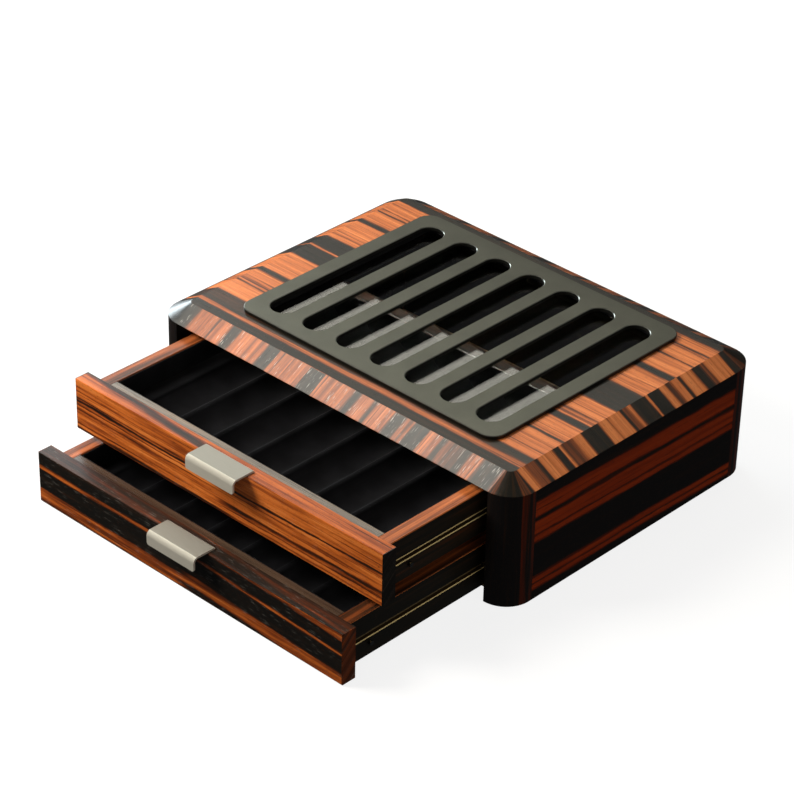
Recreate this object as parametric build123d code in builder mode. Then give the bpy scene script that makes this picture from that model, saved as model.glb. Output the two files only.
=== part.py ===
from build123d import *
import os

# A pen chest: a veneered case with two drawers, and a glazed lid under a slotted metal plate.
# Millimetres.  X runs across the front, Y from front to back, Z up.  The origin is the centre
# of the case's footprint, on the surface that it stands on.  Both drawers stand drawn out.

# ---- driving sizes: what the drawers hold ----------------------------------------------
PEN_COUNT = 7
PEN_PITCH = 29.0
TROUGH_LENGTH = 172.8
END_SHELF = 9.9
RIDGE_HEIGHT = 8.7
RIDGE_WIDTH = 4.0
RIDGE_EASING = 1.6
TRAY_BASE = 3.0
TRAY_CLEARANCE = 0.2
LINING = 1.0
LINING_DROP = 0.6

# ---- driving sizes: case ---------------------------------------------------------------
WALL = 19.0
POST_DEPTH = 21.0
CORNER_FLAT = 0.3
BASE_FELT = 0.8
FELT_INSET = 3.0
BOTTOM_BOARD = 2.0
BOTTOM_REBATE = 8.0

# ---- driving sizes: drawer fronts ------------------------------------------------------
FRONT_HEIGHT = 35.4
FRONT_THICKNESS = 10.5
FRONT_EASING = 0.6
FLOOR_GAP = 0.8
FRONT_GAP = 3.2
TOP_GAP = 2.9
SIDE_GAP = 1.3
DRAWN_OUT = {"upper": 84.3, "lower": 115.7}
FULL_TRAVEL = 140.0

# ---- driving sizes: lid, glass and slotted plate ---------------------------------------
LID_THICKNESS = 8.3
LID_EDGE = 0.3
BEVEL_WIDTH = 14.4
PLATE_THICKNESS = 2.4
PLATE_RADIUS = 10.0
PLATE_SETBACK = 4.0
PLATE_CHAMFER = 0.4
PLATE_LAP_X = 6.2
PLATE_LAP_Y = 4.5
SLOT_INSET = 11.4
SLOT_END = 12.0
SLOT_WIDTH = 18.0
GLASS_THICKNESS = 3.0
GLASS_CLEARANCE = 0.3
GLASS_CORNER = 3.0
BEAD_WIDTH = 5.2
BEAD_HEIGHT = 1.9
LEDGE = 5.2
PLATE_PIN_RADIUS = 1.5
PLATE_PIN_LENGTH = 5.0
PLATE_PIN_IN_PLATE = 1.4

# ---- driving sizes: drawer boxes -------------------------------------------------------
SIDE_THICKNESS = 9.7
INNER_FRONT = 8.4
BACK_THICKNESS = 9.7
BOX_DROP = 2.9
BOARD_CLEARANCE = 0.8
BOX_EASING = 0.4
RUNNER_SPACE = 8.7
FLOOR_THICKNESS = 2.5
FLOOR_RAISE = 1.5
FLOOR_GROOVE = 3.0

# ---- driving sizes: rails, stops and buffers -------------------------------------------
RAIL_DROP = 15.6
CHANNEL_HEIGHT = 4.4
CHANNEL_DEPTH = 4.5
CHANNEL_WALL = 0.8
TONGUE_GAP = 0.4
TONGUE_TIP_GAP = 0.8
RUNNER_FLANGE = 10.0
RUNNER_THICKNESS = 1.5
RUNNER_END_GAP = 0.6
STOP_DROP = 5.4
STOP_RADIUS = 1.5
STOP_PLAY = 0.2
STOP_PIN_SETBACK = 32.4
STOP_PIN_SINK = 6.0
STOP_PIN_GAP = 0.7
STUD_PROUD = 2.2
STUD_SINK = 4.0
BUFFER_THICKNESS = 3.0
BUFFER_RADIUS = 5.0
BUFFER_PLAY = 0.2
BUFFER_SPACING = 180.0

# ---- driving sizes: pulls --------------------------------------------------------------
PULL_WIDTH = 40.0
PULL_SHEET = 1.3
PULL_REACH = 10.9
PULL_LAP = 6.6
PULL_LIP = 9.2
PULL_LEG = 9.0
PULL_BEND = 3.4
PULL_CORNER = 1.5
KERF_CLEARANCE = 0.1

# ---- driving sizes: dowels and screws --------------------------------------------------
DOWEL_RADIUS = 3.0
DOWEL_LENGTH = 20.0
BACK_DOWEL_RISE = 9.0
LID_DOWEL_RADIUS = 2.5
LID_DOWEL_LENGTH = 16.0
LID_DOWEL_IN_LID = 4.0
LID_DOWEL_INSET = 5.5
LID_DOWEL_SPACING = 60.0
CORNER_DOWEL_RADIUS = 2.0
CORNER_DOWEL_LENGTH = 20.0
CORNER_DOWEL_IN_SIDE = 6.0
CORNER_DOWEL_MARGIN = 8.0
HOLE_CLEARANCE = 0.05
SCREW_RADIUS = 1.5
SCREW_HEAD_RADIUS = 2.8
SCREW_HEAD = 1.5
SCREW_LENGTH = 13.0
FRONT_SCREW_INSET = 15.0
BOTTOM_SCREW_HEAD = 1.2
BOTTOM_SCREW_LENGTH = 14.0
BOTTOM_SCREW_SPACING = 120.0
RUNNER_SCREW_RADIUS = 1.2
RUNNER_SCREW_HEAD_RADIUS = 2.2
RUNNER_SCREW_HEAD = 1.0
RUNNER_SCREW_LENGTH = 10.0
RUNNER_SCREW_INSET = 5.0
PULL_SCREW_RADIUS = 1.0
PULL_SCREW_HEAD_RADIUS = 1.9
PULL_SCREW_HEAD = 1.2
PULL_SCREW_BITE = 2.5
PULL_SCREW_SPACING = 24.0
CHANNEL_PIN_RADIUS = 0.8
CHANNEL_PIN_LENGTH = 3.0
CHANNEL_PIN_INSET = 32.0

# ---- worked out from the sizes above ---------------------------------------------------
TRAY_WIDTH = PEN_COUNT * PEN_PITCH + 2 * END_SHELF
INSIDE_WIDTH = TRAY_WIDTH + 2 * (TRAY_CLEARANCE + LINING)
INSIDE_LENGTH = TROUGH_LENGTH + 2 * (TRAY_CLEARANCE + LINING)
BOX_WIDTH = INSIDE_WIDTH + 2 * SIDE_THICKNESS
BOX_LENGTH = INNER_FRONT + INSIDE_LENGTH + BACK_THICKNESS

SIDE_INNER = BOX_WIDTH / 2 + RUNNER_SPACE
OPENING_WIDTH = 2 * SIDE_INNER
CASE_WIDTH = OPENING_WIDTH + 2 * WALL
CASE_DEPTH = FRONT_THICKNESS + BOX_LENGTH + BUFFER_PLAY + BUFFER_THICKNESS + WALL
CORNER_RADIUS = WALL - CORNER_FLAT
CASE_FRONT = -CASE_DEPTH / 2
CASE_BACK = CASE_DEPTH / 2
BACK_INNER = CASE_BACK - WALL
SIDE_LENGTH = CASE_DEPTH - 2 * POST_DEPTH
WALL_MIDDLE = CASE_WIDTH / 2 - WALL / 2
BACK_MIDDLE = CASE_BACK - WALL / 2
BOTTOM_FRONT = CASE_FRONT + FRONT_THICKNESS + SIDE_GAP

FRONT_BOTTOMS = {"upper": FLOOR_GAP + FRONT_HEIGHT + FRONT_GAP, "lower": FLOOR_GAP}
FRONT_WIDTH = OPENING_WIDTH - 2 * SIDE_GAP
BOX_LIFT = BASE_FELT + BOTTOM_BOARD + BOARD_CLEARANCE - FLOOR_GAP
BOX_HEIGHT = FRONT_HEIGHT - BOX_DROP - BOX_LIFT
LID_UNDERSIDE = FLOOR_GAP + 2 * FRONT_HEIGHT + FRONT_GAP + TOP_GAP
LID_TOP = LID_UNDERSIDE + LID_THICKNESS
WALL_HEIGHT = LID_UNDERSIDE - BASE_FELT

SLOT_LENGTH = TROUGH_LENGTH - 2 * SLOT_INSET
REBATE_WIDTH = PEN_COUNT * PEN_PITCH
REBATE_DEPTH = SLOT_LENGTH + 2 * SLOT_END - 2 * PLATE_LAP_Y
PLATE_WIDTH = REBATE_WIDTH + 2 * PLATE_LAP_X
PLATE_DEPTH = REBATE_DEPTH + 2 * PLATE_LAP_Y
GLASS_BOTTOM = LID_TOP - BEAD_HEIGHT - GLASS_THICKNESS
PLATE_PIN_X = PLATE_WIDTH / 2 - PLATE_LAP_X / 2
PLATE_PIN_Y = REBATE_DEPTH / 2 - PLATE_RADIUS

STOP_PIN_Y = CASE_FRONT + STOP_PIN_SETBACK
TONGUE_THICKNESS = CHANNEL_HEIGHT - 2 * CHANNEL_WALL - 2 * TONGUE_GAP
TONGUE_TIP = BOX_WIDTH / 2 - CHANNEL_DEPTH + CHANNEL_WALL + TONGUE_TIP_GAP
RUNNER_FRONT = CASE_FRONT + FRONT_THICKNESS + RUNNER_END_GAP
RUNNER_LENGTH = BACK_INNER - RUNNER_END_GAP - RUNNER_FRONT
RUNNER_SCREW_Y = SIDE_LENGTH / 2 - DOWEL_LENGTH / 2 - RUNNER_SCREW_INSET

SIDES = {"left": -1, "right": 1}
ENDS = {"front": -1, "rear": 1}


def save(piece, name):
    """Label a finished piece and write its STEP file."""
    piece.part.label = name
    export_step(piece.part, f"parts/{name}.step")


def rail_height(drawer):
    """The height of the middle of a drawer's rail."""
    return FRONT_BOTTOMS[drawer] + FRONT_HEIGHT - BOX_DROP - RAIL_DROP


def runner_screw_places(drawer):
    """Where a drawer's two runners are screwed to the side walls, as (y, z)."""
    height = rail_height(drawer) + RUNNER_FLANGE / 2
    return [(y, height) for y in (-RUNNER_SCREW_Y, 0, RUNNER_SCREW_Y)]


# Places that two or more pieces share, each as (x, z), (y, z) or (x, y) in the wall's plane.
END_DOWELS = [(WALL_MIDDLE, rail_height(drawer)) for drawer in DRAWN_OUT]
BACK_DOWELS = [(BACK_MIDDLE, rail_height(drawer) + BACK_DOWEL_RISE) for drawer in DRAWN_OUT]
LID_DOWELS = [-LID_DOWEL_SPACING, 0, LID_DOWEL_SPACING]
BOTTOM_SCREWS = [-BOTTOM_SCREW_SPACING / 2, BOTTOM_SCREW_SPACING / 2]
RUNNER_SCREWS = [place for drawer in DRAWN_OUT for place in runner_screw_places(drawer)]
STOP_PINS = [(STOP_PIN_Y, rail_height(drawer) - STOP_DROP) for drawer in DRAWN_OUT]


# ---- the case --------------------------------------------------------------------------
def make_post(end, side):
    """A corner post, quarter-round outside, drilled for the dowels of the walls beside it."""
    side_sign = SIDES[side]
    end_sign = ENDS[end]
    corner = (side_sign * CASE_WIDTH / 2, end_sign * CASE_DEPTH / 2)
    middle = (
        side_sign * WALL_MIDDLE,
        end_sign * (CASE_DEPTH - POST_DEPTH) / 2,
    )
    joint_y = end_sign * SIDE_LENGTH / 2
    with BuildPart() as post:
        with BuildSketch(Plane.XY.offset(BASE_FELT)):
            with Locations(middle):
                Rectangle(WALL, POST_DEPTH)
            fillet(vertices().sort_by_distance((*corner, 0))[0], CORNER_RADIUS)
        extrude(amount=WALL_HEIGHT)
        with BuildSketch(Plane.XZ.offset(-joint_y)):
            with Locations(*[(side_sign * x, z) for x, z in END_DOWELS]):
                Circle(DOWEL_RADIUS + HOLE_CLEARANCE)
        extrude(amount=-end_sign * (DOWEL_LENGTH / 2 + HOLE_CLEARANCE), mode=Mode.SUBTRACT)
        if end == "rear":
            with BuildSketch(Plane.YZ.offset(side_sign * OPENING_WIDTH / 2)):
                with Locations(*BACK_DOWELS):
                    Circle(DOWEL_RADIUS + HOLE_CLEARANCE)
            extrude(amount=side_sign * (DOWEL_LENGTH / 2 + HOLE_CLEARANCE), mode=Mode.SUBTRACT)
    save(post, f"post_{end}_{side}")


def make_side_panel(side):
    """A side wall between two posts, with every hole that is drilled in it."""
    sign = SIDES[side]
    with BuildPart() as panel:
        with BuildSketch(Plane.XY.offset(BASE_FELT)):
            with Locations((sign * WALL_MIDDLE, 0)):
                Rectangle(WALL, SIDE_LENGTH)
        extrude(amount=WALL_HEIGHT)
        # rebate for the bottom board
        with BuildSketch(Plane.XY.offset(BASE_FELT)):
            with Locations((sign * (SIDE_INNER + BOTTOM_REBATE / 2), 0)):
                Rectangle(BOTTOM_REBATE, SIDE_LENGTH)
        extrude(amount=BOTTOM_BOARD, mode=Mode.SUBTRACT)
        # dowels into the posts
        for end_sign in ENDS.values():
            with BuildSketch(Plane.XZ.offset(-end_sign * SIDE_LENGTH / 2)):
                with Locations(*[(sign * x, z) for x, z in END_DOWELS]):
                    Circle(DOWEL_RADIUS + HOLE_CLEARANCE)
            extrude(amount=end_sign * (DOWEL_LENGTH / 2 + HOLE_CLEARANCE), mode=Mode.SUBTRACT)
        # dowels into the lid
        with BuildSketch(Plane.XY.offset(LID_UNDERSIDE)):
            with Locations(*[(sign * (SIDE_INNER + LID_DOWEL_INSET), y) for y in LID_DOWELS]):
                Circle(LID_DOWEL_RADIUS + HOLE_CLEARANCE)
        extrude(amount=-(LID_DOWEL_LENGTH - LID_DOWEL_IN_LID + HOLE_CLEARANCE), mode=Mode.SUBTRACT)
        # screws of the bottom board
        with BuildSketch(Plane.XY.offset(BASE_FELT)):
            with Locations(*[(sign * (SIDE_INNER + BOTTOM_REBATE / 2), y) for y in BOTTOM_SCREWS]):
                Circle(SCREW_RADIUS + HOLE_CLEARANCE)
        extrude(amount=BOTTOM_SCREW_LENGTH + HOLE_CLEARANCE, mode=Mode.SUBTRACT)
        # screws of the two runners, and the stop pins
        with BuildSketch(Plane.YZ.offset(sign * SIDE_INNER)):
            with Locations(*RUNNER_SCREWS):
                Circle(RUNNER_SCREW_RADIUS + HOLE_CLEARANCE)
        extrude(amount=sign * RUNNER_SCREW_LENGTH, mode=Mode.SUBTRACT)
        with BuildSketch(Plane.YZ.offset(sign * SIDE_INNER)):
            with Locations(*STOP_PINS):
                Circle(STOP_RADIUS + HOLE_CLEARANCE)
        extrude(amount=sign * (STOP_PIN_SINK + HOLE_CLEARANCE), mode=Mode.SUBTRACT)
    save(panel, f"side_panel_{side}")


def make_back_panel():
    """The back wall between the rear posts."""
    with BuildPart() as panel:
        with BuildSketch(Plane.XY.offset(BASE_FELT)):
            with Locations((0, BACK_MIDDLE)):
                Rectangle(OPENING_WIDTH, WALL)
        extrude(amount=WALL_HEIGHT)
        with BuildSketch(Plane.XY.offset(BASE_FELT)):
            with Locations((0, BACK_INNER + BOTTOM_REBATE / 2)):
                Rectangle(OPENING_WIDTH, BOTTOM_REBATE)
        extrude(amount=BOTTOM_BOARD, mode=Mode.SUBTRACT)
        for sign in SIDES.values():
            with BuildSketch(Plane.YZ.offset(sign * OPENING_WIDTH / 2)):
                with Locations(*BACK_DOWELS):
                    Circle(DOWEL_RADIUS + HOLE_CLEARANCE)
            extrude(amount=-sign * (DOWEL_LENGTH / 2 + HOLE_CLEARANCE), mode=Mode.SUBTRACT)
        with BuildSketch(Plane.XY.offset(LID_UNDERSIDE)):
            with Locations(*[(x, BACK_INNER + LID_DOWEL_INSET) for x in LID_DOWELS]):
                Circle(LID_DOWEL_RADIUS + HOLE_CLEARANCE)
        extrude(amount=-(LID_DOWEL_LENGTH - LID_DOWEL_IN_LID + HOLE_CLEARANCE), mode=Mode.SUBTRACT)
        with BuildSketch(Plane.XY.offset(BASE_FELT)):
            with Locations(*[(x, BACK_INNER + BOTTOM_REBATE / 2) for x in BOTTOM_SCREWS]):
                Circle(SCREW_RADIUS + HOLE_CLEARANCE)
        extrude(amount=BOTTOM_SCREW_LENGTH + HOLE_CLEARANCE, mode=Mode.SUBTRACT)
    save(panel, "back_panel")


def bottom_screw_places():
    """Where the bottom board is screwed up into the side and back walls."""
    rebate_x = SIDE_INNER + BOTTOM_REBATE / 2
    rebate_y = BACK_INNER + BOTTOM_REBATE / 2
    places = [(sign * rebate_x, y) for sign in SIDES.values() for y in BOTTOM_SCREWS]
    return places + [(x, rebate_y) for x in BOTTOM_SCREWS]


def make_bottom_board():
    """The thin board under the drawers, let into the walls, and cut round the posts."""
    back_edge = BACK_INNER + BOTTOM_REBATE
    with BuildPart() as board:
        with BuildSketch(Plane.XY.offset(BASE_FELT)):
            Rectangle(OPENING_WIDTH + 2 * BOTTOM_REBATE, SIDE_LENGTH)
            with Locations((0, (BOTTOM_FRONT + back_edge) / 2)):
                Rectangle(OPENING_WIDTH, back_edge - BOTTOM_FRONT)
        extrude(amount=BOTTOM_BOARD)
        with BuildSketch(Plane.XY.offset(BASE_FELT)):
            with Locations(*bottom_screw_places()):
                Circle(SCREW_HEAD_RADIUS + HOLE_CLEARANCE)
        extrude(amount=BOTTOM_SCREW_HEAD, mode=Mode.SUBTRACT)
        with BuildSketch(Plane.XY.offset(BASE_FELT)):
            with Locations(*bottom_screw_places()):
                Circle(SCREW_RADIUS + HOLE_CLEARANCE)
        extrude(amount=BOTTOM_BOARD, mode=Mode.SUBTRACT)
    save(board, "bottom_board")


def make_bottom_screws():
    """Flat-headed screws, flush with the underside of the bottom board."""
    with BuildPart() as screws:
        with BuildSketch(Plane.XY.offset(BASE_FELT)):
            with Locations(*bottom_screw_places()):
                Circle(SCREW_HEAD_RADIUS)
        extrude(amount=BOTTOM_SCREW_HEAD)
        with BuildSketch(Plane.XY.offset(BASE_FELT)):
            with Locations(*bottom_screw_places()):
                Circle(SCREW_RADIUS)
        extrude(amount=BOTTOM_SCREW_LENGTH)
    save(screws, "bottom_screws")


def make_base_felt():
    """The felt under the case, open where the lower front hangs between the posts."""
    notch_depth = BOTTOM_FRONT - CASE_FRONT
    with BuildPart() as felt:
        with BuildSketch():
            RectangleRounded(
                CASE_WIDTH - 2 * FELT_INSET, CASE_DEPTH - 2 * FELT_INSET, CORNER_RADIUS - FELT_INSET
            )
            with Locations((0, CASE_FRONT + notch_depth / 2)):
                Rectangle(OPENING_WIDTH, notch_depth, mode=Mode.SUBTRACT)
        extrude(amount=BASE_FELT)
    save(felt, "base_felt")


def make_frame_dowels():
    """Dowels that join the side and back walls to the posts."""
    with BuildPart() as dowels:
        for end_sign in ENDS.values():
            with BuildSketch(Plane.XZ.offset(-end_sign * SIDE_LENGTH / 2)):
                for sign in SIDES.values():
                    with Locations(*[(sign * x, z) for x, z in END_DOWELS]):
                        Circle(DOWEL_RADIUS)
            extrude(amount=DOWEL_LENGTH / 2, both=True)
        for sign in SIDES.values():
            with BuildSketch(Plane.YZ.offset(sign * OPENING_WIDTH / 2)):
                with Locations(*BACK_DOWELS):
                    Circle(DOWEL_RADIUS)
            extrude(amount=DOWEL_LENGTH / 2, both=True)
    save(dowels, "frame_dowels")


def lid_dowel_places():
    """Where the lid is dowelled to the walls, in plan."""
    side_x = SIDE_INNER + LID_DOWEL_INSET
    back_y = BACK_INNER + LID_DOWEL_INSET
    places = [(sign * side_x, y) for sign in SIDES.values() for y in LID_DOWELS]
    return places + [(x, back_y) for x in LID_DOWELS]


def make_lid_dowels():
    """Short dowels between the walls and the lid."""
    with BuildPart() as dowels:
        with BuildSketch(Plane.XY.offset(LID_UNDERSIDE + LID_DOWEL_IN_LID)):
            with Locations(*lid_dowel_places()):
                Circle(LID_DOWEL_RADIUS)
        extrude(amount=-LID_DOWEL_LENGTH)
    save(dowels, "lid_dowels")


# ---- the lid ---------------------------------------------------------------------------
def plate_pin_places():
    """Where the slotted plate is pinned to the lid, in plan."""
    return [
        (x_sign * PLATE_PIN_X, PLATE_SETBACK + y_sign * PLATE_PIN_Y)
        for x_sign in SIDES.values()
        for y_sign in ENDS.values()
    ]


def make_lid():
    """The lid: a wide bevel all round, and a window with a ledge for the glass."""
    with BuildPart() as lid:
        with BuildSketch(Plane.XY.offset(LID_UNDERSIDE)):
            RectangleRounded(CASE_WIDTH, CASE_DEPTH, CORNER_RADIUS)
        extrude(amount=LID_EDGE)
        with BuildSketch(Plane.XY.offset(LID_UNDERSIDE + LID_EDGE)):
            RectangleRounded(CASE_WIDTH, CASE_DEPTH, CORNER_RADIUS)
        with BuildSketch(Plane.XY.offset(LID_TOP)):
            RectangleRounded(
                CASE_WIDTH - 2 * BEVEL_WIDTH,
                CASE_DEPTH - 2 * BEVEL_WIDTH,
                CORNER_RADIUS - BEVEL_WIDTH,
            )
        loft(ruled=True)
        with BuildSketch(Plane.XY.offset(GLASS_BOTTOM)):
            with Locations((0, PLATE_SETBACK)):
                RectangleRounded(REBATE_WIDTH, REBATE_DEPTH, GLASS_CORNER)
        extrude(amount=LID_TOP - GLASS_BOTTOM, mode=Mode.SUBTRACT)
        with BuildSketch(Plane.XY.offset(LID_UNDERSIDE)):
            with Locations((0, PLATE_SETBACK)):
                RectangleRounded(REBATE_WIDTH - 2 * LEDGE, REBATE_DEPTH - 2 * LEDGE, GLASS_CORNER)
        extrude(amount=LID_THICKNESS, mode=Mode.SUBTRACT)
        with BuildSketch(Plane.XY.offset(LID_UNDERSIDE)):
            with Locations(*lid_dowel_places()):
                Circle(LID_DOWEL_RADIUS + HOLE_CLEARANCE)
        extrude(amount=LID_DOWEL_IN_LID + HOLE_CLEARANCE, mode=Mode.SUBTRACT)
        with BuildSketch(Plane.XY.offset(LID_TOP)):
            with Locations(*plate_pin_places()):
                Circle(PLATE_PIN_RADIUS + HOLE_CLEARANCE)
        pin_depth = PLATE_PIN_LENGTH - PLATE_PIN_IN_PLATE
        extrude(amount=-(pin_depth + HOLE_CLEARANCE), mode=Mode.SUBTRACT)
    save(lid, "lid")


def make_window_glass():
    """The pane that lies on the lid's ledge."""
    with BuildPart() as glass:
        with BuildSketch(Plane.XY.offset(GLASS_BOTTOM)):
            with Locations((0, PLATE_SETBACK)):
                RectangleRounded(
                    REBATE_WIDTH - 2 * GLASS_CLEARANCE,
                    REBATE_DEPTH - 2 * GLASS_CLEARANCE,
                    GLASS_CORNER - GLASS_CLEARANCE,
                )
        extrude(amount=GLASS_THICKNESS)
    save(glass, "window_glass")


def make_glass_bead():
    """The bead that holds the pane down, between it and the plate."""
    with BuildPart() as bead:
        with BuildSketch(Plane.XY.offset(GLASS_BOTTOM + GLASS_THICKNESS)):
            with Locations((0, PLATE_SETBACK)):
                RectangleRounded(
                    REBATE_WIDTH - 2 * GLASS_CLEARANCE,
                    REBATE_DEPTH - 2 * GLASS_CLEARANCE,
                    GLASS_CORNER - GLASS_CLEARANCE,
                )
                RectangleRounded(
                    REBATE_WIDTH - 2 * BEAD_WIDTH,
                    REBATE_DEPTH - 2 * BEAD_WIDTH,
                    GLASS_CORNER,
                    mode=Mode.SUBTRACT,
                )
        extrude(amount=BEAD_HEIGHT)
    save(bead, "glass_bead")


def make_slot_plate():
    """The metal plate on the lid, with one long slot over each trough."""
    with BuildPart() as plate:
        with BuildSketch(Plane.XY.offset(LID_TOP)):
            with Locations((0, PLATE_SETBACK)):
                RectangleRounded(PLATE_WIDTH, PLATE_DEPTH, PLATE_RADIUS)
                with GridLocations(PEN_PITCH, 0, PEN_COUNT, 1):
                    SlotOverall(SLOT_LENGTH, SLOT_WIDTH, rotation=90, mode=Mode.SUBTRACT)
        extrude(amount=PLATE_THICKNESS)
        chamfer(faces().sort_by(Axis.Z)[-1].edges(), PLATE_CHAMFER)
        with BuildSketch(Plane.XY.offset(LID_TOP)):
            with Locations(*plate_pin_places()):
                Circle(PLATE_PIN_RADIUS + HOLE_CLEARANCE)
        extrude(amount=PLATE_PIN_IN_PLATE + HOLE_CLEARANCE, mode=Mode.SUBTRACT)
    save(plate, "slot_plate")


def make_plate_pins():
    """Pins that hold the plate to the lid."""
    with BuildPart() as pins:
        with BuildSketch(Plane.XY.offset(LID_TOP + PLATE_PIN_IN_PLATE)):
            with Locations(*plate_pin_places()):
                Circle(PLATE_PIN_RADIUS)
        extrude(amount=-PLATE_PIN_LENGTH)
    save(pins, "plate_pins")


# ---- runners, stops and buffers --------------------------------------------------------
def make_runner(drawer, side):
    """A steel angle on the side wall, whose tongue runs in the drawer's brass channel."""
    sign = SIDES[side]
    low = rail_height(drawer) - TONGUE_THICKNESS / 2
    high = rail_height(drawer) - TONGUE_THICKNESS / 2 + RUNNER_FLANGE
    flange = SIDE_INNER - RUNNER_THICKNESS
    outline = [
        (SIDE_INNER, low),
        (SIDE_INNER, high),
        (flange, high),
        (flange, low + TONGUE_THICKNESS),
        (TONGUE_TIP, low + TONGUE_THICKNESS),
        (TONGUE_TIP, low),
    ]
    with BuildPart() as runner:
        with BuildSketch(Plane.XZ.offset(-RUNNER_FRONT)):
            with BuildLine():
                Polyline(*[(sign * x, z) for x, z in outline], close=True)
            make_face()
        extrude(amount=-RUNNER_LENGTH)
        with BuildSketch(Plane.YZ.offset(sign * SIDE_INNER)):
            with Locations(*runner_screw_places(drawer)):
                Circle(RUNNER_SCREW_RADIUS + HOLE_CLEARANCE)
        extrude(amount=-sign * RUNNER_THICKNESS, mode=Mode.SUBTRACT)
    save(runner, f"runner_{drawer}_{side}")


def make_runner_screws():
    """Pan-head screws through the flanges of the four runners."""
    flange = SIDE_INNER - RUNNER_THICKNESS
    shank = RUNNER_SCREW_LENGTH + RUNNER_THICKNESS - HOLE_CLEARANCE
    with BuildPart() as screws:
        for sign in SIDES.values():
            with BuildSketch(Plane.YZ.offset(sign * flange)):
                with Locations(*RUNNER_SCREWS):
                    Circle(RUNNER_SCREW_HEAD_RADIUS)
            extrude(amount=-sign * RUNNER_SCREW_HEAD)
            with BuildSketch(Plane.YZ.offset(sign * flange)):
                with Locations(*RUNNER_SCREWS):
                    Circle(RUNNER_SCREW_RADIUS)
            extrude(amount=sign * shank)
    save(screws, "runner_screws")


def make_stop_pins():
    """Pins in the side walls, caught between the two studs on each side of a drawer."""
    tip = BOX_WIDTH / 2 + STOP_PIN_GAP
    with BuildPart() as pins:
        for sign in SIDES.values():
            with BuildSketch(Plane.YZ.offset(sign * tip)):
                with Locations(*STOP_PINS):
                    Circle(STOP_RADIUS)
            extrude(amount=sign * (SIDE_INNER + STOP_PIN_SINK - tip))
    save(pins, "stop_pins")


def make_rear_buffers():
    """Felt dots on the back wall that a closed drawer meets."""
    places = [
        (sign * BUFFER_SPACING / 2, FRONT_BOTTOMS[drawer] + FRONT_HEIGHT / 2)
        for drawer in DRAWN_OUT
        for sign in SIDES.values()
    ]
    with BuildPart() as buffers:
        with BuildSketch(Plane.XZ.offset(-BACK_INNER)):
            with Locations(*places):
                Circle(BUFFER_RADIUS)
        extrude(amount=BUFFER_THICKNESS)
    save(buffers, "rear_buffers")


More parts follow.
